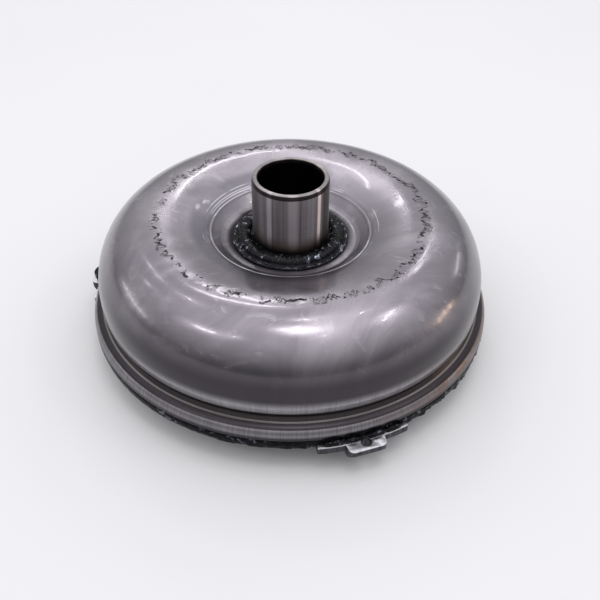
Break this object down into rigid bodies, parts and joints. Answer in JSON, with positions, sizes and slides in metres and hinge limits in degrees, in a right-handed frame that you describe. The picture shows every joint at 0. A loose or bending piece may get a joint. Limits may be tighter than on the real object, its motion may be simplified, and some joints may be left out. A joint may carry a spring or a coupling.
{
  "type": "torque converter",
  "caption": "Doughnut-shaped fluid coupling with a long pump hub, drive lugs, a bladed turbine and stator, and a lock-up clutch inside.",
  "frame": {"origin": "centre of the crank pilot's flat end face, on the shaft axis", "axes": "+Z along the shaft axis, from the engine side towards the transmission, so that the pump hub points up; +X and +Y across it, with the first drive lug at -70.3 degrees from +X"},
  "size_m": [0.2661, 0.2617, 0.116],
  "materials": {
    "pressed_steel": "satin, lightly scuffed",
    "ground_steel": "fine ground, semi-bright",
    "burnt_weld": "glossy black weld scale",
    "cover_steel": "dark, oily",
    "lug_steel": "bright, sheared edges",
    "blade_steel": "brazed, satin",
    "hub_steel": "machined",
    "cast_aluminium": "as cast, matt",
    "bearing_steel": "polished",
    "spring_steel": "blued",
    "friction_paper": "porous paper lining",
    "seal_rubber": "matt",
    "washer_bronze": "satin"
  },
  "bodies": {
    "housing": {"impeller_shell": "pressed_steel", "impeller_hub": "ground_steel", "hub_weld_bead": "burnt_weld", "impeller_blade_ring": "blade_steel", "front_cover": "cover_steel", "crank_pilot": "ground_steel", "closure_weld_bead": "burnt_weld", "drive_lug_1": "lug_steel", "drive_lug_2": "lug_steel", "drive_lug_3": "lug_steel", "drive_lug_weld_1": "burnt_weld", "drive_lug_weld_2": "burnt_weld", "drive_lug_weld_3": "burnt_weld", "cover_thrust_washer": "washer_bronze", "pump_bearing_race": "bearing_steel"},
    "turbine": {"turbine_shell": "pressed_steel", "turbine_blade_ring": "blade_steel", "turbine_hub": "hub_steel", "turbine_rivet_1": "hub_steel", "turbine_rivet_2": "hub_steel", "turbine_rivet_3": "hub_steel", "turbine_rivet_4": "hub_steel", "turbine_rivet_5": "hub_steel", "turbine_rivet_6": "hub_steel", "damper_drive_plate": "blade_steel", "piston_seal_ring": "seal_rubber"},
    "damper": {"spring_retainer": "blade_steel", "damper_spring_1": "spring_steel", "damper_spring_2": "spring_steel", "damper_spring_3": "spring_steel", "damper_spring_4": "spring_steel", "damper_spring_5": "spring_steel", "damper_spring_6": "spring_steel"},
    "piston": {"lockup_piston": "blade_steel", "friction_lining": "friction_paper"},
    "stator_race": {"stator_inner_race": "bearing_steel"},
    "stator": {"stator_wheel": "cast_aluminium", "clutch_outer_race": "bearing_steel", "clutch_roller_1": "bearing_steel", "clutch_roller_2": "bearing_steel", "clutch_roller_3": "bearing_steel", "clutch_roller_4": "bearing_steel", "clutch_roller_5": "bearing_steel", "clutch_roller_6": "bearing_steel", "roller_spring_1": "spring_steel", "roller_spring_2": "spring_steel", "roller_spring_3": "spring_steel", "roller_spring_4": "spring_steel", "roller_spring_5": "spring_steel", "roller_spring_6": "spring_steel", "clutch_front_plate": "hub_steel", "clutch_rear_plate": "hub_steel", "clutch_snap_ring": "spring_steel", "stator_thrust_washer": "washer_bronze", "stator_bearing_race": "bearing_steel"},
    "bearing_cage": {"pump_bearing_needle_cage": "bearing_steel"}
  },
  "joints": [
    {"name": "turbine_spin", "type": "hinge", "parent": "housing", "child": "turbine", "pos_m": [0, 0, 0.04], "axis": [0, 0, 1], "continuous": true},
    {"name": "damper_twist", "type": "hinge", "parent": "turbine", "child": "damper", "pos_m": [0, 0, 0.03], "axis": [0, 0, 1], "range_deg": [-6, 6], "stiffness_Nm_per_rad": 8, "deforming": ["damper_spring_1", "damper_spring_2", "damper_spring_3", "damper_spring_4", "damper_spring_5", "damper_spring_6"]},
    {"name": "lockup_apply", "type": "slide", "parent": "damper", "child": "piston", "axis": [0, 0, -1], "range_m": [0, 0.0008]},
    {"name": "stator_race_spin", "type": "hinge", "parent": "housing", "child": "stator_race", "pos_m": [0, 0, 0.055], "axis": [0, 0, 1], "continuous": true},
    {"name": "stator_freewheel", "type": "hinge", "parent": "stator_race", "child": "stator", "pos_m": [0, 0, 0.055], "axis": [0, 0, 1], "continuous": true},
    {"name": "bearing_cage_spin", "type": "hinge", "parent": "housing", "child": "bearing_cage", "pos_m": [0, 0, 0.0637], "axis": [0, 0, 1], "continuous": true}
  ],
  "couplings": [
    {"joint": "bearing_cage_spin", "follows": "stator_race_spin", "ratio": 0.5}
  ]
}
